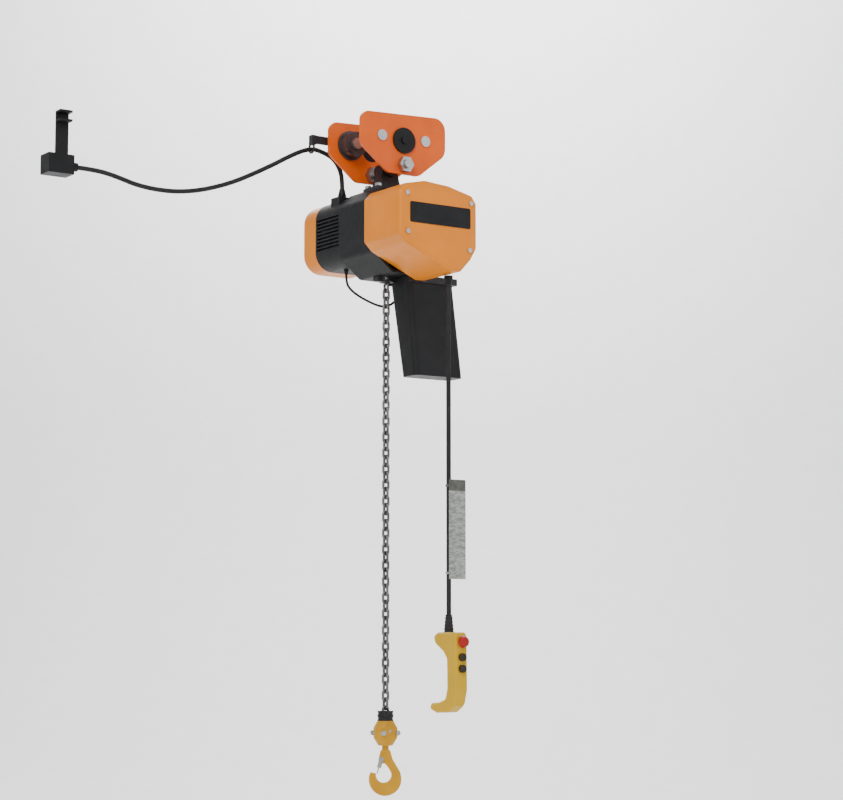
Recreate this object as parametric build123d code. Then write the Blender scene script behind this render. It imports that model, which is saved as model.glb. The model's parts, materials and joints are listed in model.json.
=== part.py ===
from build123d import *
import os
from math import atan2, cos, degrees, pi, radians, sin, tan

# Electric chain hoist on a push trolley, in millimetres.
# Origin: middle of the beam's bottom flange, on its underside, above the load chain.
# X runs along the beam, -Y is the side of the control cover, +Z is up.

# Beam that the trolley is set to
FLANGE_HALF = 59.5
TREAD_Z = 11.0

# Trolley
PLATE_IN = 66.0
PLATE_T = 8.0
WHEEL_X = 62.0
WHEEL_R = 30.0
WHEEL_Z = TREAD_Z + WHEEL_R
WHEEL_RIM_R = 36.0
AXLE_R = 10.0
PORT_Z = 35.0
PORT_R = 26.0
CAP_R = 31.0
SHAFT_Z = -24.0
SHAFT_R = 11.0
RUN_FIT = 0.03

# Hoist body
COVER_FRONT = -222.0
COVER_T = 4.0
CASE_FRONT = -71.0
CASE_REAR = 70.0
SHELL_REAR = 185.0
FAN_END = 250.0
CASE_BOTTOM = -284.0
SHELL_TOP = -82.0
SHELL_BOTTOM = -250.0
SHELL_HALF_W = 85.0

# Load chain: 6.3 mm wire, links set 19.0 mm apart
WIRE_R = 3.15
LINK_PITCH = 19.0
LINK_HALF_W = 7.15
LINK_HALF_L = 12.7
SECTION_LINKS = 10
SECTIONS = 6
SLACK_LINKS = 9

# Load sheave with five pockets, its axis along Y
SHEAVE_X = 30.69
SHEAVE_Z = -222.0
FLAT_LINK_R = 28.2
EDGE_LINK_R = 30.25
STRAND_DROP = 9.3

# Motor axis and two gear stages (module, teeth)
MOTOR_X = 0.0
MOTOR_Z = -166.0
MODULE_1 = 1.2
PINION_1 = 10
GEAR_1 = 65
MODULE_2 = 1.5
PINION_2 = 17
GEAR_2 = 62
STAGE_1_Y = (36.0, 48.0)
STAGE_2_Y = (50.0, 62.0)

# Hook block; the bowl lies in a plane turned about Z
CUSHION_TOP = -1312.0
YOKE_TOP = -1335.0
YOKE_BOTTOM = -1392.0
HOOK_TURN = -34.4
SHANK_R = 8.0
BOWL_X = -4.0
BOWL_Z = -1460.0
BOWL_R = 18.0
HOOK_HALF_T = 8.5
LATCH_X = -9.0
LATCH_Z = -1424.0

# Pendant control on its cord
PENDANT_X = 58.0
PENDANT_Y = -176.0
PENDANT_TOP = -1130.0
PENDANT_HALF_W = 17.0
STOP_Z = -1152.0
UP_Z = -1187.0
DOWN_Z = -1213.0
CORD_R = 5.5
TAG_TOP = -778.0
TAG_BOTTOM = -1008.0

# Chain container: open at the top, leaning along the beam
CONTAINER_TOP = -286.0
CONTAINER_BOTTOM = -520.0
CONTAINER_T = 3.0

# Supply cable and the control lead held under the body
CABLE_R = 5.5
LEAD_R = 3
GLAND_X = -57.0
GLAND_Y = 109.0
ARM_RING = (-160.0, 84.0, 26.0)
SOCKET_X = -775.0
SOCKET_Y = 84.0
SOCKET_Z = -98.0


def block(x0, x1, y0, y1, z0, z1):
    return Pos((x0 + x1) / 2, (y0 + y1) / 2, (z0 + z1) / 2) * Box(x1 - x0, y1 - y0, z1 - z0)


def rod_y(x, z, r, y0, y1):
    return Pos(x, (y0 + y1) / 2, z) * Rot(90, 0, 0) * Cylinder(r, y1 - y0)


def rod_x(y, z, r, x0, x1):
    return Pos((x0 + x1) / 2, y, z) * Rot(0, 90, 0) * Cylinder(r, x1 - x0)


def rod_z(x, y, r, z0, z1):
    return Pos(x, y, (z0 + z1) / 2) * Cylinder(r, z1 - z0)


def ring_y(x, z, r_in, r_out, y0, y1):
    return rod_y(x, z, r_out, y0, y1) - rod_y(x, z, r_in, y0 - 1, y1 + 1)


def ring_z(x, y, r_in, r_out, z0, z1):
    return rod_z(x, y, r_out, z0, z1) - rod_z(x, y, r_in, z0 - 1, z1 + 1)


def outline_xz(points, radii):
    """A closed X-Z outline at Y = 0 with one corner radius for each point."""
    face = Plane.XZ * make_face(Polyline(*points, close=True))
    for (x, z), r in zip(points, radii):
        if r:
            corner = face.vertices().sort_by_distance(Vector(x, 0, z))[0]
            face = fillet([corner], r)
    return face


def slab(points, radii, y0, y1):
    return Pos(0, y0, 0) * extrude(outline_xz(points, radii), y1 - y0, dir=(0, 1, 0))


def hex_y(x, z, flats, y0, y1):
    side = RegularPolygon(flats / 2, 6, major_radius=False)
    return Pos(x, y0, z) * extrude(Plane.XZ * side, y1 - y0, dir=(0, 1, 0))


def hex_z(x, y, flats, z0, z1):
    side = RegularPolygon(flats / 2, 6, major_radius=False)
    return Pos(x, y, z0) * extrude(side, z1 - z0)


def centre_of_clutch():
    """Where the clutch shaft stands, from the centre distances of both gear stages."""
    near = MODULE_1 * (PINION_1 + GEAR_1) / 2
    far = MODULE_2 * (PINION_2 + GEAR_2) / 2
    span = Vector(SHEAVE_X - MOTOR_X, 0, SHEAVE_Z - MOTOR_Z)
    along = (near**2 - far**2 + span.length**2) / (2 * span.length)
    across = (near**2 - along**2) ** 0.5
    unit = span.normalized()
    x = MOTOR_X + along * unit.X + across * unit.Z
    z = MOTOR_Z + along * unit.Z - across * unit.X
    return x, z


CLUTCH_X, CLUTCH_Z = centre_of_clutch()


def gear(module, teeth, x, z, towards, gap, y0, y1):
    """A spur gear about an axis along Y, with a tooth (or a gap) facing the point towards."""
    pitch_r = module * teeth / 2
    step = 2 * pi / teeth
    start = atan2(towards[1] - z, towards[0] - x) + (step / 2 if gap else 0)
    corners = []
    for n in range(teeth):
        middle = start + n * step
        for r, half in ((pitch_r - 1.2 * module, 0.34), (pitch_r + 0.9 * module, 0.12)):
            corners.append((r, middle - half * step))
        for r, half in ((pitch_r + 0.9 * module, 0.12), (pitch_r - 1.2 * module, 0.34)):
            corners.append((r, middle + half * step))
    points = [(x + r * cos(a), z + r * sin(a)) for r, a in corners]
    return slab(points, [0] * len(points), y0, y1)


# ---------------------------------------------------------------- trolley


def side_plate(y0, y1):
    points = [(-121, 94), (121, 104), (121, 14), (44, -46), (-44, -46), (-121, 14)]
    plate = slab(points, [24, 30, 34, 24, 24, 28], y0, y1)
    plate -= rod_y(0, SHAFT_Z, SHAFT_R, y0 - 1, y1 + 1)
    plate -= rod_y(0, PORT_Z, PORT_R, y0 - 1, y1 + 1)
    for x in (-WHEEL_X, WHEEL_X):
        plate -= rod_y(x, WHEEL_Z, AXLE_R, y0 - 1, y1 + 1)
    return plate


def wheel(x, side):
    """A track wheel with its rim outside the flange edge; side is -1 or 1 in Y."""
    tread = rod_y(x, WHEEL_Z, WHEEL_R, *sorted((side * 37, side * 60.5)))
    rim = rod_y(x, WHEEL_Z, WHEEL_RIM_R, *sorted((side * 60.5, side * 65)))
    hub = rod_y(x, WHEEL_Z, 17, *sorted((side * 34, side * 40)))
    bore = rod_y(x, WHEEL_Z, AXLE_R + RUN_FIT, *sorted((side * 30, side * 70)))
    return tread + rim + hub - bore


def wheel_axles():
    axles = []
    for x in (-WHEEL_X, WHEEL_X):
        for side in (-1, 1):
            pin = rod_y(x, WHEEL_Z, AXLE_R, *sorted((side * 31, side * 76)))
            head = rod_y(x, WHEEL_Z, 13, *sorted((side * 74, side * 77)))
            clip = rod_y(x, WHEEL_Z, 13.5, *sorted((side * 30.5, side * 33.5)))
            axles.append(pin + head + clip)
    return Compound(children=axles)


def suspension_shaft():
    return rod_y(0, SHAFT_Z, SHAFT_R, -98, 98)


def shaft_nuts():
    nuts = []
    for side in (-1, 1):
        for y0, y1 in ((74, 90), (50, 66)):
            nut = hex_y(0, SHAFT_Z, 34, *sorted((side * y0, side * y1)))
            nuts.append(nut - rod_y(0, SHAFT_Z, SHAFT_R, -100, 100))
    return Compound(children=nuts)


def port_caps():
    caps = []
    for side in (-1, 1):
        flange = rod_y(0, PORT_Z, CAP_R, *sorted((side * 74, side * 79)))
        spigot = rod_y(0, PORT_Z, PORT_R, *sorted((side * 66.5, side * 75)))
        boss = rod_y(0, PORT_Z, 9, *sorted((side * 79, side * 83)))
        caps.append(flange + spigot + boss)
    return Compound(children=caps)


def cable_arm():
    """The arm on the rear plate that carries the supply cable clear of the body."""
    x, y, z = ARM_RING
    foot = block(-118, -92, 74, 79, 12, 76)
    bar = block(x + 4, -96, 79, 84, z + 12, z + 32)
    neck = block(x - 3, x + 9, 76, 92, z + 9, z + 32)
    eye = Pos(x, y, z) * Rot(0, 90, 0) * Torus(11, 2.5)
    tab = block(-112, -96, 78, 84, z + 12, z + 32)
    return foot + bar + neck + tab + eye


# ---------------------------------------------------------------- suspension


def suspender():
    hub = rod_y(0, SHAFT_Z, 19, -26, 26)
    web = slab([(-19, SHAFT_Z), (19, SHAFT_Z), (34, -76), (-34, -76)], [0] * 4, -16, 16)
    base = block(-46, 46, -32, 32, -80, -70)
    body = hub + web + base
    for x in (-38, 38):
        for y in (-22, 22):
            body -= rod_z(x, y, 5, -81, -69)
    return body - rod_y(0, SHAFT_Z, SHAFT_R + RUN_FIT, -30, 30)


def suspender_bolts():
    bolts = []
    for x in (-38, 38):
        for y in (-22, 22):
            bolts.append(rod_z(x, y, 5, -94, -70) + hex_z(x, y, 15, -70, -63))
    return Compound(children=bolts)


# ---------------------------------------------------------------- gear case

CASE_POINTS = [(-85, -112), (-58, -80), (58, -80), (85, -112)]
CASE_POINTS += [(85, -250), (58, -284), (-30, -284), (-85, -238)]
CASE_RADII = [16, 12, 12, 16, 14, 10, 14, 18]


def case_inner(y0, y1):
    points = [(-79, -114), (-56, -86), (56, -86), (79, -114)]
    points += [(79, -248), (55, -278), (-28, -278), (-79, -235)]
    return slab(points, [12, 8, 8, 12, 10, 6, 10, 14], y0, y1)


def gear_case():
    case = slab(CASE_POINTS, CASE_RADII, CASE_FRONT, CASE_REAR)
    case -= case_inner(CASE_FRONT - 1, -28)
    case -= case_inner(27, CASE_REAR + 1)
    case -= block(-14, 76, -21, 21, -285, -177)
    case -= block(-78, -22, -29, 15, -232, -112)
    case -= rod_y(SHEAVE_X, SHEAVE_Z, 20, -29, -20)
    case -= rod_y(SHEAVE_X, SHEAVE_Z, 20, 20, 28)
    case -= rod_y(CLUTCH_X, CLUTCH_Z, 12, 19, 28)
    for x in (-38, 38):
        for y in (-22, 22):
            case -= rod_z(x, y, 5, -95, -79)
    for side in (-1, 1):
        lug = block(-29, -19, *sorted((side * 8, side * 12)), -293, -283)
        case += lug - rod_y(-24, -288, 3 + RUN_FIT, -13, 13)
    return case


def ball_bearings():
    """Shaft bearings as plain rings: inner radius, outer radius and the span in Y."""
    rings = [
        ring_y(SHEAVE_X, SHEAVE_Z, 12 + RUN_FIT, 20, -27.5, -21),
        ring_y(SHEAVE_X, SHEAVE_Z, 12 + RUN_FIT, 20, 21, 26.5),
        ring_y(CLUTCH_X, CLUTCH_Z, 7 + RUN_FIT, 12, 21, 26.5),
        ring_y(CLUTCH_X, CLUTCH_Z, 7 + RUN_FIT, 11, 70.5, 77),
        ring_y(MOTOR_X, MOTOR_Z, 8 + RUN_FIT, 17.5, 70.5, 77),
        ring_y(MOTOR_X, MOTOR_Z, 8 + RUN_FIT, 16, 185.5, 192.5),
    ]
    return Compound(children=rings)


def pinion_shaft():
    y0, y1 = STAGE_2_Y
    shaft = rod_y(CLUTCH_X, CLUTCH_Z, 7, 19.5, 76.5)
    teeth = gear(MODULE_2, PINION_2, CLUTCH_X, CLUTCH_Z, (SHEAVE_X, SHEAVE_Z), False, y0, y1)
    disc = rod_y(CLUTCH_X, CLUTCH_Z, 25, 31, STAGE_1_Y[0] - 0.1)
    return shaft + teeth + disc


def clutch_gear():
    y0, y1 = STAGE_1_Y
    ring = gear(MODULE_1, GEAR_1, CLUTCH_X, CLUTCH_Z, (MOTOR_X, MOTOR_Z), True, y0, y1)
    return ring - rod_y(CLUTCH_X, CLUTCH_Z, 7 + RUN_FIT, y0 - 1, y1 + 1)


def load_gear():
    y0, y1 = STAGE_2_Y
    ring = gear(MODULE_2, GEAR_2, SHEAVE_X, SHEAVE_Z, (CLUTCH_X, CLUTCH_Z), True, y0, y1)
    return ring - rod_y(SHEAVE_X, SHEAVE_Z, 12, y0 - 1, y1 + 1)


def load_sheave():
    spool = rod_y(SHEAVE_X, SHEAVE_Z, 24.6, -14, 14)
    spool -= ring_y(SHEAVE_X, SHEAVE_Z, 19.4, 40, -3.9, 3.9)
    for side in (-1, 1):
        spool += rod_y(SHEAVE_X, SHEAVE_Z, 36, *sorted((side * 11.2, side * 14.5)))
        for n in range(5):
            turn = Pos(SHEAVE_X, 0, SHEAVE_Z) * Rot(0, -18 - 72 * n, 0)
            tooth = block(23, 33, *sorted((side * 3.9, side * 11.4)), -2.2, 2.2)
            spool += turn * tooth
    return spool + rod_y(SHEAVE_X, SHEAVE_Z, 12, -27, 69)


# ---------------------------------------------------------------- chain


def chain_link():
    """One link, upright, wide along X."""
    straight = LINK_HALF_L - LINK_HALF_W
    profile = Plane.XY * Pos(LINK_HALF_W, 0) * Circle(WIRE_R)
    crown = Pos(0, 0, straight) * revolve(profile, Axis.Y, -180)
    bars = rod_z(LINK_HALF_W, 0, WIRE_R, -straight, straight)
    bars += rod_z(-LINK_HALF_W, 0, WIRE_R, -straight, straight)
    return crown + bars + Rot(180, 0, 0) * crown


LINK = chain_link()


def strand(x, top_z, first, count):
    """Links down one strand; even numbers are wide along Y, odd ones along X."""
    links = []
    for n in range(first, first + count):
        turn = 90 if n % 2 == 0 else 0
        links.append(Pos(x, 0, top_z - n * LINK_PITCH) * Rot(0, 0, turn) * LINK)
    return links


def wrapped_links():
    """The five links that lie on the sheave's upper half."""
    links = []
    for n in range(5):
        angle = 18 + 36 * n
        edge = n % 2 == 0
        r = EDGE_LINK_R if edge else FLAT_LINK_R
        place = Pos(SHEAVE_X, 0, SHEAVE_Z) * Rot(0, -angle, 0) * Pos(r, 0, 0)
        links.append(place * Rot(0, 0, 0 if edge else 90) * LINK)
    return links


STRAND_TOP = SHEAVE_Z - STRAND_DROP


def load_chain_top():
    links = strand(0, STRAND_TOP, 0, SECTION_LINKS)
    links += wrapped_links()
    links += strand(2 * SHEAVE_X, STRAND_TOP, 0, SLACK_LINKS)
    return Compound(children=links)


def load_chain_section(number):
    first = (number - 1) * SECTION_LINKS
    return Compound(children=strand(0, STRAND_TOP, first, SECTION_LINKS))


LAST_LINK_Z = STRAND_TOP - (SECTIONS * SECTION_LINKS - 1) * LINK_PITCH


def chain_guide():
    guide = block(-13.8, 75.8, -20.8, 20.8, CASE_BOTTOM, -262)
    for x in (0, 2 * SHEAVE_X):
        guide -= rod_z(x, 0, 11.3, -285, -261)
    return guide


def limit_lever():
    """A ring round the load chain, on an arm that tips up when the hook block meets it."""
    ring = rod_z(0, 0, 18, -297, -292) + block(-24, -10, -7, 7, -297, -292)
    ear = block(-29, -19, -7, 7, -297, -285)
    pin = rod_y(-24, -288, 3, -12, 12)
    return ring + ear + pin - rod_z(0, 0, 12.5, -298, -291)


# ---------------------------------------------------------------- control side

COVER_POINTS = [(-109, -122), (-92, -103), (-36, -91), (30, -96), (96, -112), (109, -130)]
COVER_POINTS += [(109, -238), (92, -266), (64, -296), (36, -297), (-88, -242), (-109, -222)]
COVER_RADII = [10, 14, 30, 40, 12, 12, 20, 20, 12, 14, 14, 12]


def control_cover():
    inner = [(-105, -124), (-90, -107), (-36, -95), (30, -100), (94, -116), (105, -132)]
    inner += [(105, -236), (89, -262), (62, -292), (37, -292.5), (-86, -238), (-105, -220)]
    shell = slab(COVER_POINTS, COVER_RADII, COVER_FRONT, CASE_FRONT)
    front = shell.faces().sort_by(Axis.Y)[0]
    shell = fillet(front.edges(), 9)
    shell -= slab(inner, [6, 10, 26, 36, 8, 8, 16, 16, 8, 10, 10, 8], COVER_FRONT + 7, CASE_FRONT + 1)
    for x, z in SCREW_PLACES:
        shell -= rod_y(x, z, 2.6, COVER_FRONT - 1, COVER_FRONT + 8)
    return shell


SCREW_PLACES = ((-90, -126), (90, -132), (86, -244), (-88, -216))


def cover_screws():
    screws = []
    for x, z in SCREW_PLACES:
        head = rod_y(x, z, 5.5, COVER_FRONT - 3, COVER_FRONT)
        screws.append(head + rod_y(x, z, 2.6, COVER_FRONT - 1, COVER_FRONT + 12))
    return Compound(children=screws)


def badge_plate():
    points = [(-81, -145), (88, -145), (88, -193), (-81, -193)]
    return slab(points, [4] * 4, COVER_FRONT - 1.6, COVER_FRONT)


def contactors():
    blocks = []
    for x in (-70, -22, 26):
        body = block(x, x + 44, -96, -28, -226, -150)
        step = block(x + 8, x + 36, -112, -96, -212, -164)
        blocks.append(body + step)
    return Compound(children=blocks)


# ---------------------------------------------------------------- motor


def shell_outline(inset, y0, y1):
    w = SHELL_HALF_W - inset
    top = SHELL_TOP - inset
    bottom = SHELL_BOTTOM + inset
    points = [(-w, top), (w, top), (w, bottom), (-w, bottom)]
    return slab(points, [46 - inset] * 4, y0, y1)


def motor_shell():
    shell = shell_outline(0, CASE_REAR, SHELL_REAR)
    for n in range(9):
        z = MOTOR_Z + (n - 4) * 9
        for side in (-1, 1):
            groove = sorted((side * (SHELL_HALF_W - 7), side * (SHELL_HALF_W + 1)))
            shell -= block(*groove, CASE_REAR + 10, SHELL_REAR - 6, z - 2.5, z + 2.5)
    shell += block(GLAND_X - 20, GLAND_X + 20, 90, 128, -112, -80)
    shell -= rod_y(MOTOR_X, MOTOR_Z, 62, 78, SHELL_REAR + 1)
    shell -= rod_y(MOTOR_X, MOTOR_Z, 17.5, CASE_REAR - 1, 79)
    return shell - rod_y(CLUTCH_X, CLUTCH_Z, 11, CASE_REAR - 1, 79)


def end_shield():
    disc = rod_y(MOTOR_X, MOTOR_Z, 72, SHELL_REAR, SHELL_REAR + 8)
    return disc - rod_y(MOTOR_X, MOTOR_Z, 16, SHELL_REAR - 1, SHELL_REAR + 9)


def stator_core():
    return ring_y(MOTOR_X, MOTOR_Z, 33, 62, 95, 150)


def stator_windings():
    return Compound(children=[ring_y(MOTOR_X, MOTOR_Z, 36, 56, *y) for y in ((82, 95), (150, 163))])


def rotor():
    y0, y1 = STAGE_1_Y
    core = rod_y(MOTOR_X, MOTOR_Z, 32.4, 95, 150)
    shaft = rod_y(MOTOR_X, MOTOR_Z, 8, y1 + 1, 238) + rod_y(MOTOR_X, MOTOR_Z, 4, y0, 60)
    clutch = (CLUTCH_X, CLUTCH_Z)
    return core + shaft + gear(MODULE_1, PINION_1, MOTOR_X, MOTOR_Z, clutch, False, y0, y1)


def brake_magnet():
    """The coil body, three studs and the plate that the brake disc is pressed on."""
    coil = ring_y(MOTOR_X, MOTOR_Z, 12, 52, 193, 204)
    plate = ring_y(MOTOR_X, MOTOR_Z, 12, 52, 213.5, 217)
    for n in range(3):
        a = radians(90 + 120 * n)
        coil += rod_y(MOTOR_X + 47 * cos(a), MOTOR_Z + 47 * sin(a), 3, 200, 215)
    return coil + plate


def brake_armature():
    return ring_y(MOTOR_X, MOTOR_Z, 11, 42, 204.6, 208.6)


def brake_disc():
    return ring_y(MOTOR_X, MOTOR_Z, 8, 40, 208.65, 213.45)


def cooling_fan():
    fan = rod_y(MOTOR_X, MOTOR_Z, 14, 222, 236) + rod_y(MOTOR_X, MOTOR_Z, 60, 222, 224)
    for n in range(9):
        turn = Pos(MOTOR_X, 0, MOTOR_Z) * Rot(0, 40 * n, 0)
        fan += turn * block(12, 59, 223, 236, -1.2, 1.2)
    return fan - rod_y(MOTOR_X, MOTOR_Z, 8, 221, 237)


def fan_cover():
    cover = shell_outline(0, SHELL_REAR, FAN_END)
    back = cover.faces().sort_by(Axis.Y)[-1]
    cover = fillet(back.edges(), 15)
    cover -= shell_outline(3.5, SHELL_REAR - 1, FAN_END - 10)
    for n in range(7):
        z = MOTOR_Z + (n - 3) * 13
        half = 54 - 4 * abs(n - 3)
        cover -= block(-half, half, FAN_END - 11, FAN_END + 1, z - 3, z + 3)
    return cover


# ---------------------------------------------------------------- chain container


def rounded(x0, x1, y0, y1, z, r):
    face = Pos((x0 + x1) / 2, (y0 + y1) / 2, z) * RectangleRounded(x1 - x0, y1 - y0, r)
    return face


def container_body(t, floor):
    """The leaning box, drawn in by t on its sides and with its floor raised by floor."""
    share = floor / (CONTAINER_TOP - CONTAINER_BOTTOM)
    top = (20 + t, 150 - t, -65 + t, 18 - t)
    low = (52 + t, 190 - t, -50 + t, 12 - t)
    low = [b + share * (a - b) for a, b in zip(top, low)]
    upper = rounded(*top, CONTAINER_TOP, 12 - t)
    lower = rounded(*low, CONTAINER_BOTTOM + floor, 12 - t)
    return loft([lower.face(), upper.face()], ruled=True)


def chain_container():
    return container_body(0, 0) - container_body(CONTAINER_T, CONTAINER_T)


def container_bracket():
    rear = block(18, 158, 18.4, 24.4, -300, CASE_BOTTOM)
    front = block(18, 158, -70.5, -65.4, -300, CASE_BOTTOM)
    end = block(152.5, 158, -70.5, 24.4, -300, CASE_BOTTOM)
    return rear + front + end


# ---------------------------------------------------------------- hook block


def chain_cushion():
    cone = Pos(0, 0, (CUSHION_TOP + YOKE_TOP) / 2) * Cone(19, 16, CUSHION_TOP - YOKE_TOP)
    return cone - rod_z(0, 0, 12, YOKE_TOP - 1, CUSHION_TOP + 1)


PIN_Z = LAST_LINK_Z - LINK_HALF_L + WIRE_R + 3.6


def hook_yoke():
    """Two forged halves that close round the last link and the hook's nut."""
    profile = [(0, YOKE_TOP), (19, YOKE_TOP), (28, YOKE_TOP - 16), (28, YOKE_BOTTOM + 18)]
    profile += [(17, YOKE_BOTTOM), (0, YOKE_BOTTOM)]
    body = revolve(Plane.XZ * make_face(Polyline(*profile, close=True)), Axis.Z, 360)
    body &= block(-30, 30, -21, 21, YOKE_BOTTOM - 1, YOKE_TOP + 1)
    body -= rod_z(0, 0, 12, -1371, YOKE_TOP + 1)
    body -= rod_z(0, 0, 15.3, -1384, -1371)
    body -= rod_z(0, 0, SHANK_R + 0.06, YOKE_BOTTOM - 1, -1383)
    body -= rod_y(0, PIN_Z, 3.4, -30, 30)
    for x in (-20, 20):
        body -= rod_y(x, YOKE_TOP - 28, 3.5, -30, 30)
    front = body & block(-30, 30, -25, 0, YOKE_BOTTOM - 1, YOKE_TOP + 1)
    rear = body & block(-30, 30, 0, 25, YOKE_BOTTOM - 1, YOKE_TOP + 1)
    return Compound(children=[front, rear])


def yoke_bolts():
    """The chain pin and the two bolts that hold the halves together."""
    bolts = [rod_y(0, PIN_Z, 3.4, -20.5, 20.5)]
    for x in (-20, 20):
        z = YOKE_TOP - 28
        head = rod_y(x, z, 6, -25, -21) + hex_y(x, z, 11, 21, 26)
        bolts.append(head + rod_y(x, z, 3.5, -22, 22))
    return Compound(children=bolts)


def load_hook():
    """Shank with its nut, and the bowl cut from a flat forging, before the turn about Z."""
    outer = Pos(-0.5, 0, -1470) * Rot(90, 0, 0) * Cylinder(38, 2 * HOOK_HALF_T)
    neck = [(-11, -1402), (11, -1402), (17, -1424), (35.5, -1455), (0, -1480)]
    neck += [(-15, -1440), (-16, -1424)]
    bowl = outer + slab(neck, [6, 6, 16, 0, 0, 4, 7], -HOOK_HALF_T, HOOK_HALF_T)
    eye = [(-4, -1460), (-60, -1449), (-60, -1418), (-30, -1425), (-14, -1432.6), (0, -1434)]
    eye += [(9, -1446), (13.2, -1455)]
    bowl -= slab(eye, [0, 0, 0, 0, 5, 5, 5, 0], -10, 10)
    bowl -= rod_y(BOWL_X, BOWL_Z, BOWL_R, -10, 10)
    bowl -= rod_y(LATCH_X, LATCH_Z, 2.5 + RUN_FIT, -10, 10)
    shank = rod_z(0, 0, SHANK_R, -1405, -1373) + rod_z(0, 0, 15, -1383.8, -1373)
    return Rot(0, 0, HOOK_TURN) * (bowl + shank)


def hook_latch():
    """A sprung latch: two ears on the pin and a tongue that closes the throat."""
    end = Vector(-19.2, 0, -1456)
    pivot = Vector(LATCH_X, 0, LATCH_Z)
    length = (end - pivot).length
    swing = degrees(atan2(end.X - pivot.X, pivot.Z - end.Z))
    tongue = block(-1.5, 1.5, -10.8, 10.8, -length, -10.5)
    ears = []
    for side in (-1, 1):
        span = sorted((side * 8.8, side * 10.8))
        ears.append(rod_y(0, 0, 6, *span) + block(-5, 5, *span, -20, 0))
    latch = tongue + ears[0] + ears[1] + rod_y(0, 0, 2.5, -12, 12)
    return Rot(0, 0, HOOK_TURN) * Pos(pivot) * Rot(0, -swing, 0) * latch


# ---------------------------------------------------------------- pendant


def yz_slab(points, radii, x0, x1):
    face = Plane.YZ * make_face(Polyline(*points, close=True))
    for (y, z), r in zip(points, radii):
        if r:
            corner = face.vertices().sort_by_distance(Vector(0, y, z))[0]
            face = fillet([corner], r)
    return Pos(x0, 0, 0) * extrude(face, x1 - x0, dir=(1, 0, 0))


PENDANT_FRONT = PENDANT_Y - 52


def pendant_shell():
    """Left and right halves of the curved grip, hollow behind the buttons."""
    top = PENDANT_TOP
    offsets = [(-50, 0), (24, 0), (40, -8), (34, -26), (2, -44), (-13, -62), (-14, -128)]
    offsets += [(-6, -152), (22, -160), (52, -162), (54, -176), (30, -184), (-14, -182)]
    offsets += [(-42, -166), (-52, -130)]
    points = [(PENDANT_Y + dy, top + dz) for dy, dz in offsets]
    radii = [12, 10, 7, 10, 14, 10, 14, 12, 12, 5, 5, 16, 20, 20, 14]
    x0, x1 = PENDANT_X - PENDANT_HALF_W, PENDANT_X + PENDANT_HALF_W
    body = yz_slab(points, radii, x0, x1)
    body = chamfer(body.faces().sort_by(Axis.X)[0].edges(), 4)
    body = chamfer(body.faces().sort_by(Axis.X)[-1].edges(), 4)
    half = PENDANT_HALF_W - 4
    body -= block(PENDANT_X - half, PENDANT_X + half, PENDANT_FRONT + 6, PENDANT_FRONT + 33, top - 136, top - 8)
    for z, r in ((STOP_Z, 8.2), (UP_Z, 9.2), (DOWN_Z, 9.2)):
        body -= rod_y(PENDANT_X, z, r, PENDANT_FRONT - 1, PENDANT_FRONT + 8)
    left = body & block(x0 - 1, PENDANT_X, -300, 0, -1400, -1100)
    right = body & block(PENDANT_X, x1 + 1, -300, 0, -1400, -1100)
    return Compound(children=[left, right])


def travel_button(z):
    cap = rod_y(PENDANT_X, z, 9, PENDANT_FRONT - 6, PENDANT_FRONT + 9)
    return cap + rod_y(PENDANT_X, z, 11, PENDANT_FRONT + 6.3, PENDANT_FRONT + 9)


def stop_button():
    head = Pos(PENDANT_X, PENDANT_FRONT - 9, STOP_Z) * Rot(90, 0, 0) * Cone(14, 11, 8)
    stem = rod_y(PENDANT_X, STOP_Z, 8, PENDANT_FRONT - 6, PENDANT_FRONT + 9)
    return head + stem + rod_y(PENDANT_X, STOP_Z, 11, PENDANT_FRONT + 6.3, PENDANT_FRONT + 9)


def pendant_switches():
    y = PENDANT_FRONT + 14.5
    units = []
    for z in (STOP_Z, UP_Z, DOWN_Z):
        units.append(block(PENDANT_X - 11, PENDANT_X + 11, y, y + 18.5, z - 12, z + 12))
    return Compound(children=units)


def pendant_boot():
    cone = Cone(12, 7.5, 40)
    return Pos(PENDANT_X, PENDANT_Y, PENDANT_TOP + 20) * cone


def pendant_cord():
    return rod_z(PENDANT_X, PENDANT_Y, CORD_R, PENDANT_TOP + 40, COVER_GLAND_BOTTOM)


COVER_GLAND_BOTTOM = -322.0


def warning_tag():
    """A blank instruction tag on two ties round the cord."""
    y = PENDANT_Y - CORD_R - 1.2
    plate = block(PENDANT_X - 4, PENDANT_X + 42, y - 2, y, TAG_BOTTOM, TAG_TOP)
    for z in (TAG_TOP - 14, TAG_BOTTOM + 14):
        plate += ring_z(PENDANT_X, PENDANT_Y, CORD_R + 0.1, CORD_R + 2.2, z - 2.5, z + 2.5)
    return plate


# ---------------------------------------------------------------- glands and cords


def gland(r):
    """A hexagon nut and a tapered cap, 4 r tall, standing on Z = 0 and pointing up."""
    return hex_z(0, 0, 3.6 * r, 0, 1.5 * r) + Pos(0, 0, 2.75 * r) * Cone(1.7 * r, 1.25 * r, 2.5 * r)


def cable_glands():
    down = Rot(180, 0, 0)
    glands = [
        Pos(GLAND_X, GLAND_Y, -80) * gland(CABLE_R),
        Pos(PENDANT_X, PENDANT_Y, COVER_GLAND_BOTTOM + 22) * down * gland(CORD_R),
        Pos(*LEAD_ROUTE[0]) * Pos(0, 0, 4 * LEAD_R) * down * gland(LEAD_R),
        Pos(*LEAD_ROUTE[-1]) * Pos(0, 0, 4 * LEAD_R) * down * gland(LEAD_R),
    ]
    return Compound(children=glands)


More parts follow.
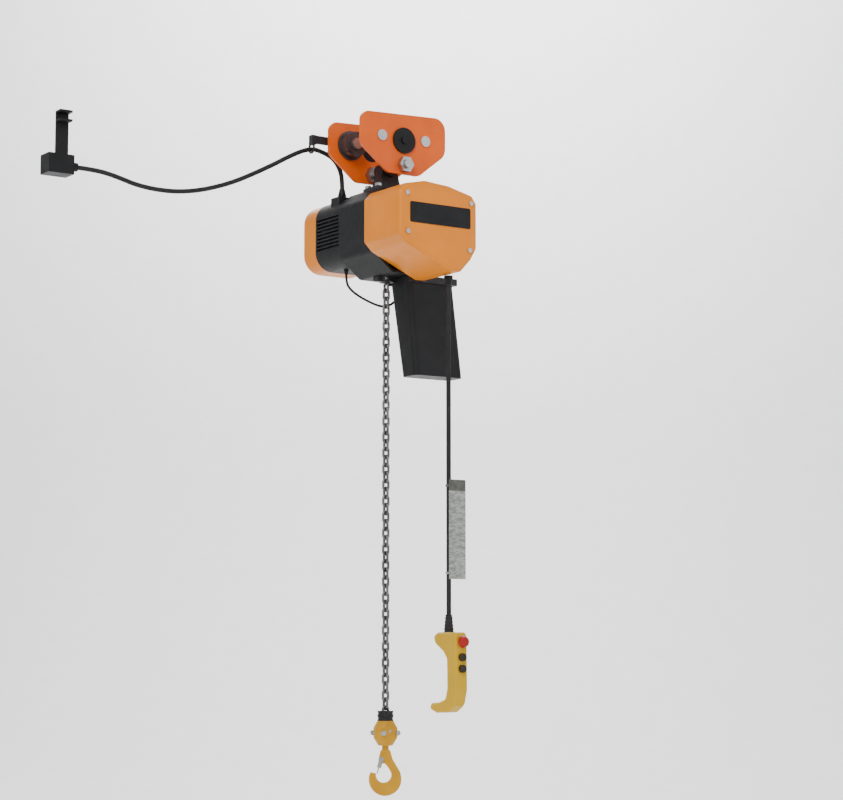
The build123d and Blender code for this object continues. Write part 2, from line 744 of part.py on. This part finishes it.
CABLE_ROUTE = [
    (GLAND_X, GLAND_Y, -58),
    (GLAND_X, GLAND_Y, -29),
    (-69, 106, -3),
    (-92, 100.5, 16),
    (-124, 92.5, 23),
    ARM_RING,
    (-206, 82, 8),
    (-285, 82, -38),
    (-392, 83, -92),
    (-505, 84, -124),
    (-610, 84, -124),
    (-686, 84, -104),
    (-732, 84, SOCKET_Z),
    (SOCKET_X, SOCKET_Y, SOCKET_Z),
]

LEAD_ROUTE = [
    (-32, 128, -262),
    (-32, 128, -280),
    (-26, 123, -297),
    (-10, 111, -314),
    (12, 94, -330),
    (34, 77, -342),
    (49, 65.5, -341),
    (61.5, 56, -331),
    (69, 50.5, -315),
    (69, 50.5, -296),
]


def cord(name, route, r):
    """A tube of straight runs joined by arcs as large as the runs allow."""
    points = [Vector(*p) for p in route]
    radii = []
    for a, b, c in zip(points, points[1:], points[2:]):
        turn = radians((b - a).get_angle(c - b))
        radii.append(0.45 * min((b - a).length, (c - b).length) / tan(turn / 2))
    path = FilletPolyline(*points, radius=radii)
    tube = sweep(Plane(origin=points[0], z_dir=points[1] - points[0]) * Circle(r), path=path)
    print(name, "length", round(path.length, 1), "radii", [round(v) for v in radii])
    print(name, "volume ratio", round(tube.volume / (pi * r**2 * path.length), 4))
    return tube


def supply_cable():
    return cord("supply_cable", CABLE_ROUTE, CABLE_R)


def control_lead():
    return cord("control_lead", LEAD_ROUTE, LEAD_R)


def beam_socket():
    """The socket box that the supply cable ends in, on a clip over the flange edge."""
    x = SOCKET_X - 16
    y, z = SOCKET_Y, SOCKET_Z
    box = block(x - 62, x, y - 22, y + 22, z - 22, z + 22)
    nut = rod_x(y, z, 10, x, SOCKET_X)
    strap = block(x - 46, x - 16, FLANGE_HALF + 2, FLANGE_HALF + 7, z + 10, TREAD_Z + 8)
    upper = block(x - 46, x - 16, FLANGE_HALF - 18, FLANGE_HALF + 7, TREAD_Z + 3, TREAD_Z + 8)
    lower = block(x - 46, x - 16, FLANGE_HALF - 18, FLANGE_HALF + 7, -6, -1)
    return box + nut + strap + upper + lower


def make_parts():
    parts = {
        "side_plate_front": side_plate(-PLATE_IN - PLATE_T, -PLATE_IN),
        "side_plate_rear": side_plate(PLATE_IN, PLATE_IN + PLATE_T),
        "wheel_front_left": wheel(-WHEEL_X, -1),
        "wheel_front_right": wheel(WHEEL_X, -1),
        "wheel_rear_left": wheel(-WHEEL_X, 1),
        "wheel_rear_right": wheel(WHEEL_X, 1),
        "wheel_axles": wheel_axles(),
        "suspension_shaft": suspension_shaft(),
        "shaft_nuts": shaft_nuts(),
        "port_caps": port_caps(),
        "cable_arm": cable_arm(),
        "suspender": suspender(),
        "suspender_bolts": suspender_bolts(),
        "gear_case": gear_case(),
        "ball_bearings": ball_bearings(),
        "pinion_shaft": pinion_shaft(),
        "clutch_gear": clutch_gear(),
        "load_gear": load_gear(),
        "load_sheave": load_sheave(),
        "load_chain_top": load_chain_top(),
        "chain_guide": chain_guide(),
        "limit_lever": limit_lever(),
        "control_cover": control_cover(),
        "cover_screws": cover_screws(),
        "badge_plate": badge_plate(),
        "contactors": contactors(),
        "motor_shell": motor_shell(),
        "end_shield": end_shield(),
        "stator_core": stator_core(),
        "stator_windings": stator_windings(),
        "rotor": rotor(),
        "brake_magnet": brake_magnet(),
        "brake_armature": brake_armature(),
        "brake_disc": brake_disc(),
        "cooling_fan": cooling_fan(),
        "fan_cover": fan_cover(),
        "chain_container": chain_container(),
        "container_bracket": container_bracket(),
        "chain_cushion": chain_cushion(),
        "hook_yoke": hook_yoke(),
        "yoke_bolts": yoke_bolts(),
        "load_hook": load_hook(),
        "hook_latch": hook_latch(),
        "pendant_shell": pendant_shell(),
        "up_button": travel_button(UP_Z),
        "down_button": travel_button(DOWN_Z),
        "stop_button": stop_button(),
        "pendant_switches": pendant_switches(),
        "pendant_boot": pendant_boot(),
        "pendant_cord": pendant_cord(),
        "warning_tag": warning_tag(),
        "cable_glands": cable_glands(),
        "supply_cable": supply_cable(),
        "control_lead": control_lead(),
        "beam_socket": beam_socket(),
    }
    for number in range(2, SECTIONS + 1):
        parts[f"load_chain_{number}"] = load_chain_section(number)
    return parts


os.makedirs("parts", exist_ok=True)
for node, shape in make_parts().items():
    export_step(shape, f"parts/{node}.step")
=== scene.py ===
import bpy
from math import cos, pi, radians, sin
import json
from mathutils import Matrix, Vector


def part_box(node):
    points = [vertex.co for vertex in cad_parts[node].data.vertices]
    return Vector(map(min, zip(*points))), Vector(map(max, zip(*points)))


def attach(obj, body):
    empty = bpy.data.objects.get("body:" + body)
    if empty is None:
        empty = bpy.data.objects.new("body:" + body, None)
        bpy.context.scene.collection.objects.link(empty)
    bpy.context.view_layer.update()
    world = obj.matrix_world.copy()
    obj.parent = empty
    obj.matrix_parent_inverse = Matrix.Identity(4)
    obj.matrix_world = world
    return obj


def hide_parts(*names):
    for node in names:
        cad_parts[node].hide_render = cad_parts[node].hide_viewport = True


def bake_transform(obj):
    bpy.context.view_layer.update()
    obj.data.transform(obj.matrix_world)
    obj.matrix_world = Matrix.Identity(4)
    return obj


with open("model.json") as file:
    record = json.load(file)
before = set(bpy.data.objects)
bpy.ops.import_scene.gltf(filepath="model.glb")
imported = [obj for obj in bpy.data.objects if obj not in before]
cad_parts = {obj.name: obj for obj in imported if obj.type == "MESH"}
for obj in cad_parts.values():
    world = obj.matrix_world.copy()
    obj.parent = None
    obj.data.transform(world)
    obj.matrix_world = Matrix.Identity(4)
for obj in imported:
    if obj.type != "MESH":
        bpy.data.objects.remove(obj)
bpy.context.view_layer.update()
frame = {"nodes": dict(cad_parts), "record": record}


# ---------------------------------------------------------------- camera

VIEW_TURN = 34.4  # degrees between the view and the beam's square
VIEW_PITCH = 6.5

camera_data = bpy.data.cameras.new("camera")
camera_data.sensor_fit = "HORIZONTAL"
camera_data.sensor_width = 36.0
camera_data.lens = 93.95
camera_data.clip_end = 60.0
camera = bpy.data.objects.new("camera", camera_data)
camera.location = (-2.868, -4.338, -1.172)
camera.rotation_euler = (radians(90.0 + VIEW_PITCH), 0.0, radians(-VIEW_TURN))
bpy.context.collection.objects.link(camera)
bpy.context.scene.camera = camera


# ---------------------------------------------------------------- cords


def tube(name, route, radius):
    """A round cord along a given route, in metres."""
    curve = bpy.data.curves.new(name, "CURVE")
    curve.dimensions = "3D"
    curve.bevel_depth = radius
    curve.bevel_resolution = 8
    curve.resolution_u = 16
    curve.use_fill_caps = True
    spline = curve.splines.new("NURBS")
    spline.points.add(len(route) - 1)
    for point, place in zip(spline.points, route):
        point.co = (*place, 1.0)
    spline.order_u = 3
    spline.use_endpoint_u = True
    obj = bpy.data.objects.new(name, curve)
    bpy.context.collection.objects.link(obj)
    return obj


def as_mesh(curve_obj):
    """(mesh object in the curve's place, points of its centreline)."""
    name = curve_obj.name
    curve = curve_obj.data
    radius = curve.bevel_depth
    curve.bevel_depth = 0.0
    bpy.context.view_layer.update()
    line = [tuple(v.co) for v in bpy.data.meshes.new_from_object(curve_obj).vertices]
    curve.bevel_depth = radius
    bpy.context.view_layer.update()
    evaluated = curve_obj.evaluated_get(bpy.context.evaluated_depsgraph_get())
    mesh = bpy.data.meshes.new_from_object(evaluated)
    bpy.data.objects.remove(curve_obj)
    obj = bpy.data.objects.new(name, mesh)
    bpy.context.collection.objects.link(obj)
    return obj, line


CABLE_R = 0.0055
LEAD_R = 0.003
PENDANT_CORD_R = 0.0055
PENDANT_X = 0.058
PENDANT_Y = -0.176
CABLE_ROUTE = [
    (-0.057, 0.109, -0.058),
    (-0.057, 0.109, -0.029),
    (-0.069, 0.106, -0.003),
    (-0.092, 0.1005, 0.016),
    (-0.124, 0.0925, 0.023),
    (-0.160, 0.084, 0.026),
    (-0.206, 0.082, 0.008),
    (-0.285, 0.082, -0.038),
    (-0.392, 0.083, -0.092),
    (-0.505, 0.084, -0.124),
    (-0.610, 0.084, -0.124),
    (-0.686, 0.084, -0.104),
    (-0.732, 0.084, -0.098),
    (-0.775, 0.084, -0.098),
]
LEAD_ROUTE = [
    (-0.032, 0.128, -0.262),
    (-0.032, 0.128, -0.280),
    (-0.026, 0.123, -0.297),
    (-0.010, 0.111, -0.314),
    (0.012, 0.094, -0.330),
    (0.034, 0.077, -0.342),
    (0.049, 0.0655, -0.341),
    (0.0615, 0.056, -0.331),
    (0.069, 0.0505, -0.315),
    (0.069, 0.0505, -0.296),
]
PENDANT_HEIGHTS = (-0.322, -0.388, -0.60, -0.82, -1.024, -1.090)
PENDANT_ROUTE = [(PENDANT_X, PENDANT_Y, z) for z in PENDANT_HEIGHTS]

supply, supply_line = as_mesh(tube("supply_cable_visual", CABLE_ROUTE, CABLE_R))
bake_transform(supply)
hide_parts("supply_cable")

lead, lead_line = as_mesh(tube("control_lead_visual", LEAD_ROUTE, LEAD_R))
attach(lead, "hoist")
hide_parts("control_lead")

pendant_cord, pendant_line = as_mesh(tube("pendant_cord_visual", PENDANT_ROUTE, PENDANT_CORD_R))
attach(pendant_cord, "hoist")
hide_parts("pendant_cord")


# ---------------------------------------------------------------- materials


class Nodes:
    """Short names for wiring one procedural material."""

    def __init__(self, name):
        self.material = bpy.data.materials.new(name)
        self.material.use_nodes = True
        self.tree = self.material.node_tree
        self.shader = self.tree.nodes["Principled BSDF"]
        self.place = self.tree.nodes.new("ShaderNodeTexCoord").outputs["Object"]

    def link(self, a, b):
        self.tree.links.new(a, b)

    def noise(self, scale, detail=4.0, stretch=None):
        node = self.tree.nodes.new("ShaderNodeTexNoise")
        node.inputs["Scale"].default_value = scale
        node.inputs["Detail"].default_value = detail
        source = self.place
        if stretch:
            mapping = self.tree.nodes.new("ShaderNodeMapping")
            mapping.inputs["Scale"].default_value = stretch
            self.link(source, mapping.inputs["Vector"])
            source = mapping.outputs["Vector"]
        self.link(source, node.inputs["Vector"])
        return node.outputs["Fac"]

    def ramp(self, value, low, high, at=(0.35, 0.65)):
        node = self.tree.nodes.new("ShaderNodeValToRGB")
        node.color_ramp.elements[0].position = at[0]
        node.color_ramp.elements[1].position = at[1]
        node.color_ramp.elements[0].color = (*low, 1.0)
        node.color_ramp.elements[1].color = (*high, 1.0)
        self.link(value, node.inputs["Fac"])
        return node.outputs["Color"]

    def span(self, value, low, high):
        node = self.tree.nodes.new("ShaderNodeMapRange")
        node.inputs["To Min"].default_value = low
        node.inputs["To Max"].default_value = high
        self.link(value, node.inputs["Value"])
        return node.outputs["Result"]

    def mix(self, factor, a, b):
        node = self.tree.nodes.new("ShaderNodeMix")
        node.data_type = "RGBA"
        self.link(factor, node.inputs["Factor"])
        self.link(a, node.inputs[6])
        self.link(b, node.inputs[7])
        return node.outputs[2]

    def above(self, axis, limit):
        """1 where the object coordinate is above the limit."""
        split = self.tree.nodes.new("ShaderNodeSeparateXYZ")
        self.link(self.place, split.inputs["Vector"])
        node = self.tree.nodes.new("ShaderNodeMath")
        node.operation = "GREATER_THAN"
        node.inputs[1].default_value = limit
        self.link(split.outputs[axis], node.inputs[0])
        return node.outputs["Value"]

    def bump(self, height, strength, distance):
        node = self.tree.nodes.new("ShaderNodeBump")
        node.inputs["Strength"].default_value = strength
        node.inputs["Distance"].default_value = distance
        self.link(height, node.inputs["Height"])
        self.link(node.outputs["Normal"], self.shader.inputs["Normal"])


def shade(colour, factor):
    return tuple(min(1.0, c * factor) for c in colour)


def finish(
    name, colour, rough, metal=0.0, grain=900.0, bump=0.15, contrast=0.12, dirt=None, coat=0.0,
    stretch=None,
):
    """Mottled colour, uneven gloss and a fine surface grain, with darker or worn patches if asked for."""
    n = Nodes(name)
    n.shader.inputs["Metallic"].default_value = metal
    n.shader.inputs["Coat Weight"].default_value = coat
    n.shader.inputs["Coat Roughness"].default_value = 0.25
    n.shader.inputs["Specular IOR Level"].default_value = 0.32
    colour_out = n.ramp(n.noise(14.0, 6.0), shade(colour, 1 - contrast), shade(colour, 1 + contrast))
    if dirt:
        tint, start = dirt
        patches = n.ramp(n.noise(38.0, 9.0), (0, 0, 0), (1, 1, 1), (start, start + 0.12))
        dirty = n.ramp(n.noise(120.0), shade(tint, 0.8), shade(tint, 1.2))
        colour_out = n.mix(patches, colour_out, dirty)
    n.link(colour_out, n.shader.inputs["Base Color"])
    n.link(n.span(n.noise(60.0, 5.0), rough - 0.09, rough + 0.09), n.shader.inputs["Roughness"])
    n.bump(n.noise(grain, 3.0, stretch), bump, 0.0004)
    return n.material


def tag_finish():
    n = Nodes("tag")
    body = n.ramp(n.noise(90.0, 2.0, (1.0, 1.0, 3.0)), (0.20, 0.21, 0.19), (0.44, 0.45, 0.41))
    header = n.ramp(n.noise(60.0), (0.07, 0.07, 0.06), (0.12, 0.12, 0.10))
    n.link(n.mix(n.above("Z", -0.804), body, header), n.shader.inputs["Base Color"])
    n.link(n.span(n.noise(80.0), 0.3, 0.5), n.shader.inputs["Roughness"])
    n.bump(n.noise(300.0), 0.1, 0.0003)
    return n.material


GREASE = (0.03, 0.028, 0.025)
SCUFF = (0.25, 0.22, 0.2)
MATERIALS = {
    "orange_cover": finish(
        "orange_cover", (0.90, 0.255, 0.002), 0.42, grain=1400, bump=0.10, contrast=0.05, coat=0.04,
    ),
    "plate_paint": finish(
        "plate_paint", (0.85, 0.125, 0.002), 0.42, grain=420, bump=0.10, contrast=0.06,

                          dirt=(SCUFF, 0.74), coat=0.04),
    "black_casting": finish(
        "black_casting", (0.009, 0.009, 0.010), 0.58, grain=1100, bump=0.45, contrast=0.25,
    ),
    "zinc_steel": finish(
        "zinc_steel", (0.50, 0.51, 0.52), 0.34, 1.0, contrast=0.10, stretch=(1, 1, 12),
    ),
    "dark_steel": finish("dark_steel", (0.022, 0.022, 0.024), 0.42, grain=500, bump=0.2, contrast=0.2),
    "wheel_iron": finish("wheel_iron", (0.13, 0.13, 0.135), 0.42, 0.9, bump=0.3, dirt=(GREASE, 0.58)),
    "chain_steel": finish(
        "chain_steel", (0.19, 0.19, 0.19), 0.40, 0.9, bump=0.25, contrast=0.22, dirt=(GREASE, 0.60),
    ),
    "gear_steel": finish(
        "gear_steel", (0.42, 0.42, 0.42), 0.30, 1.0, contrast=0.08, dirt=(GREASE, 0.66),
    ),
    "copper": finish("copper", (0.56, 0.19, 0.05), 0.32, 0.9, grain=600, bump=0.5),
    "friction": finish("friction", (0.05, 0.04, 0.035), 0.8, bump=0.6, contrast=0.3),
    "black_plastic": finish(
        "black_plastic", (0.007, 0.007, 0.008), 0.52, grain=1500, bump=0.2, contrast=0.2,
    ),
    "hook_paint": finish(
        "hook_paint", (0.60, 0.29, 0.004), 0.42, grain=380, bump=0.2, dirt=(SCUFF, 0.68), coat=0.04,
    ),
    "latch_steel": finish("latch_steel", (0.42, 0.44, 0.38), 0.36, 1.0, contrast=0.1),
    "black_rubber": finish(
        "black_rubber", (0.016, 0.016, 0.016), 0.62, grain=1300, bump=0.35, contrast=0.25,
    ),
    "pendant_yellow": finish(
        "pendant_yellow", (0.68, 0.40, 0.003), 0.42, grain=1500, bump=0.12, contrast=0.05, coat=0.04,
    ),
    "button_red": finish(
        "button_red", (0.42, 0.012, 0.004), 0.4, grain=900, bump=0.08, contrast=0.06, coat=0.04,
    ),
    "button_dark": finish("button_dark", (0.03, 0.02, 0.012), 0.45, grain=900, bump=0.2, contrast=0.2),
    "tag": tag_finish(),
}
BEVELS = {"load_hook": 0.0035, "hook_yoke": 0.002, "pendant_shell": 0.0015, "chain_container": 0.001}
NO_BEVEL = ("load_chain", "ball_bearings", "rotor", "stator", "warning_tag")


def dress(obj, slot):
    obj.data.materials.clear()
    obj.data.materials.append(MATERIALS[slot])


for row in frame["record"]["subparts"]:
    node = frame["nodes"][row["node"]]
    dress(node, row["material_slot"])
    if row["node"].startswith(NO_BEVEL):
        continue
    bevel = node.modifiers.new("edges", "BEVEL")
    bevel.width = BEVELS.get(row["node"], 0.0006)
    bevel.segments = 3
    bevel.limit_method = "ANGLE"
    bevel.angle_limit = radians(40)
for obj in (supply, lead, pendant_cord):
    dress(obj, "black_rubber")


# ---------------------------------------------------------------- soft turned pieces


def turned(name, profile, x, y, steps=64):
    """A solid of revolution about a vertical line, from (radius, z) pairs, top to bottom."""
    verts = [(x + r * cos(2 * pi * i / steps), y + r * sin(2 * pi * i / steps), z)
             for r, z in profile for i in range(steps)]
    faces = []
    for k in range(len(profile) - 1):
        for i in range(steps):
            j = (i + 1) % steps
            a, b = k * steps, (k + 1) * steps
            faces.append((a + i, b + i, b + j, a + j))
    faces.append(tuple(reversed(range((len(profile) - 1) * steps, len(profile) * steps))))
    faces.append(tuple(range(steps)))
    mesh = bpy.data.meshes.new(name)
    mesh.from_pydata(verts, [], faces)
    mesh.update()
    for face in mesh.polygons:
        face.use_smooth = len(face.vertices) == 4
    obj = bpy.data.objects.new(name, mesh)
    bpy.context.collection.objects.link(obj)
    return obj


def ribbed(low, high, r_top, r_bottom, ribs, depth):
    """A tapering profile from top to bottom with rounded ribs."""
    steps = ribs * 12
    profile = []
    for k in range(steps + 1):
        t = k / steps
        wave = depth * (0.5 - 0.5 * cos(2 * pi * ribs * t))
        profile.append((r_top + (r_bottom - r_top) * t - wave, high + (low - high) * t))
    return profile


(_, by0, bz0), (_, by1, bz1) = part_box("pendant_boot")
boot = turned("pendant_boot_visual", ribbed(bz0, bz1, 0.0085, (by1 - by0) / 2, 5, 0.0012), PENDANT_X, PENDANT_Y)
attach(boot, "hoist")
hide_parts("pendant_boot")
dress(boot, "black_rubber")

(cx0, _, cz0), (cx1, _, cz1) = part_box("chain_cushion")
cushion_r = (cx1 - cx0) / 2
cushion = turned("chain_cushion_visual", ribbed(cz0, cz1, cushion_r, cushion_r, 2, 0.0015), 0.0, 0.0)
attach(cushion, "hook_block")
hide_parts("chain_cushion")
dress(cushion, "black_rubber")


# ---------------------------------------------------------------- room and light


def sweep_room():
    """A pale floor that curves up into a wall behind the hoist."""
    line = [(-9.0, -1.72), (3.0, -1.72)]
    line += [(3.0 + 1.5 * sin(radians(a)), -0.22 - 1.5 * cos(radians(a))) for a in range(10, 91, 10)]
    line += [(4.5, 5.0)]
    c, s = cos(radians(VIEW_TURN)), sin(radians(VIEW_TURN))
    verts = []
    for along in (-9.0, 9.0):
        verts += [(along * c + d * s, -along * s + d * c, z) for d, z in line]
    n = len(line)
    mesh = bpy.data.meshes.new("room")
    mesh.from_pydata(verts, [], [(i, i + 1, n + i + 1, n + i) for i in range(n - 1)])
    for face in mesh.polygons:
        face.use_smooth = True
    obj = bpy.data.objects.new("room", mesh)
    bpy.context.collection.objects.link(obj)
    obj.data.materials.append(finish("room", (0.95, 0.95, 0.94), 0.9, grain=60, bump=0.03, contrast=0.015))
    return obj


def area_light(name, place, turn, size, power):
    data = bpy.data.lights.new(name, "AREA")
    data.size = size
    data.energy = power
    obj = bpy.data.objects.new(name, data)
    obj.location = place
    obj.rotation_euler = [radians(a) for a in turn]
    bpy.context.collection.objects.link(obj)
    return obj


world = bpy.data.worlds.new("world")
world.use_nodes = True
world.node_tree.nodes["Background"].inputs["Color"].default_value = (0.95, 0.97, 1.0, 1.0)
world.node_tree.nodes["Background"].inputs["Strength"].default_value = 0.62
bpy.context.scene.world = world
sweep_room()
area_light("key", (-3.2, -3.0, 2.4), (52, 0, -46), 2.2, 150)
area_light("fill", (2.8, -3.4, 0.4), (82, 0, 40), 2.5, 22)
area_light("back", (1.0, 2.6, 2.2), (-50, 0, -20), 2.0, 60)
area_light("wall", (1.6, 1.9, 2.6), (62, 0, -VIEW_TURN), 3.0, 260)
